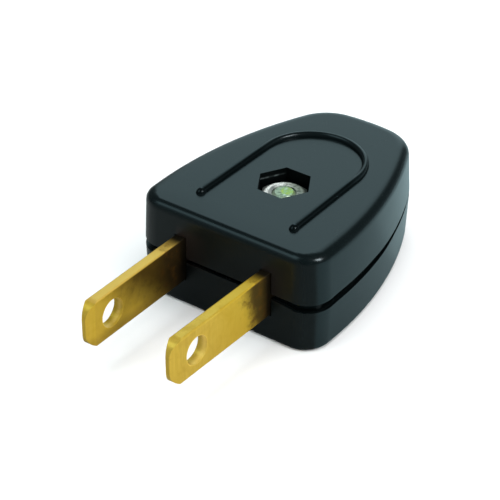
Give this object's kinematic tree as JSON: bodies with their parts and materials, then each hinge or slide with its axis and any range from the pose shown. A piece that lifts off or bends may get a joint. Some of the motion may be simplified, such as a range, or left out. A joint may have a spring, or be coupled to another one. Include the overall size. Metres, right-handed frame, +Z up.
{
  "type": "electrical plug",
  "caption": "Flat-blade mains plug with a shield-shaped two-part housing, held by a central screw and a sunken hexagon nut, with perforated brass blades and a rear cord inlet.",
  "frame": {"origin": "centre of the overall length and width, on the flat underside of the lower shell", "axes": "+X across the plug to the right blade, +Y from the blade tips to the cord inlet, +Z up from the lower shell to the nut"},
  "size_m": [0.0272, 0.0504, 0.014],
  "materials": {
    "black_plastic": "semi-gloss moulded plastic",
    "blade_brass": "brushed bare brass",
    "zinc_nut": "bright zinc plate",
    "passivated_screw": "yellow-green passivated zinc"
  },
  "bodies": {
    "root": {"upper_shell": "black_plastic", "lower_shell": "black_plastic", "left_blade": "blade_brass", "right_blade": "blade_brass", "left_terminal_screw": "passivated_screw", "right_terminal_screw": "passivated_screw", "clamp_screw": "passivated_screw", "clamp_nut": "zinc_nut"}
  },
  "joints": []
}
